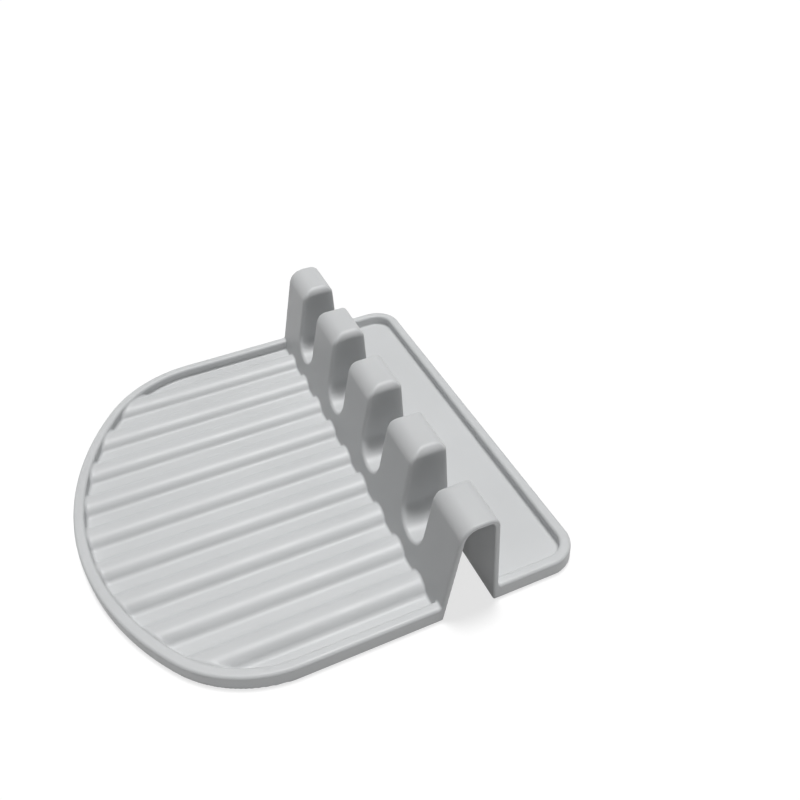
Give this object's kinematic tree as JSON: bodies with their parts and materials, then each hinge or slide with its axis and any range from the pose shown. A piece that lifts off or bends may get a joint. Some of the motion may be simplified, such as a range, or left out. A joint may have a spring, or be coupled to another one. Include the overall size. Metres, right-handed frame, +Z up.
{
  "type": "spoon rest",
  "caption": "Silicone spoon rest: a ribbed drip tray with a round front, a hollow row of posts whose slots hold utensils, and a shallow tray behind for the handles.",
  "frame": {"origin": "middle of the box around the part, on the plane of its base", "axes": "+X along the row of posts, -Y towards the drip tray's round front, +Y towards the handle tray, +Z up"},
  "size_m": [0.18, 0.1676, 0.0415],
  "materials": {
    "silicone": "matte"
  },
  "bodies": {
    "root": {"drip_floor": "silicone", "drip_rim": "silicone", "handle_floor": "silicone", "handle_rim": "silicone", "rib_1": "silicone", "rib_2": "silicone", "rib_3": "silicone", "rib_4": "silicone", "rib_5": "silicone", "rib_6": "silicone", "rib_7": "silicone", "rib_8": "silicone", "rib_9": "silicone", "post_1": "silicone", "post_2": "silicone", "post_3": "silicone", "post_4": "silicone", "post_5": "silicone", "saddle_1": "silicone", "saddle_2": "silicone", "saddle_3": "silicone", "saddle_4": "silicone"}
  },
  "joints": []
}
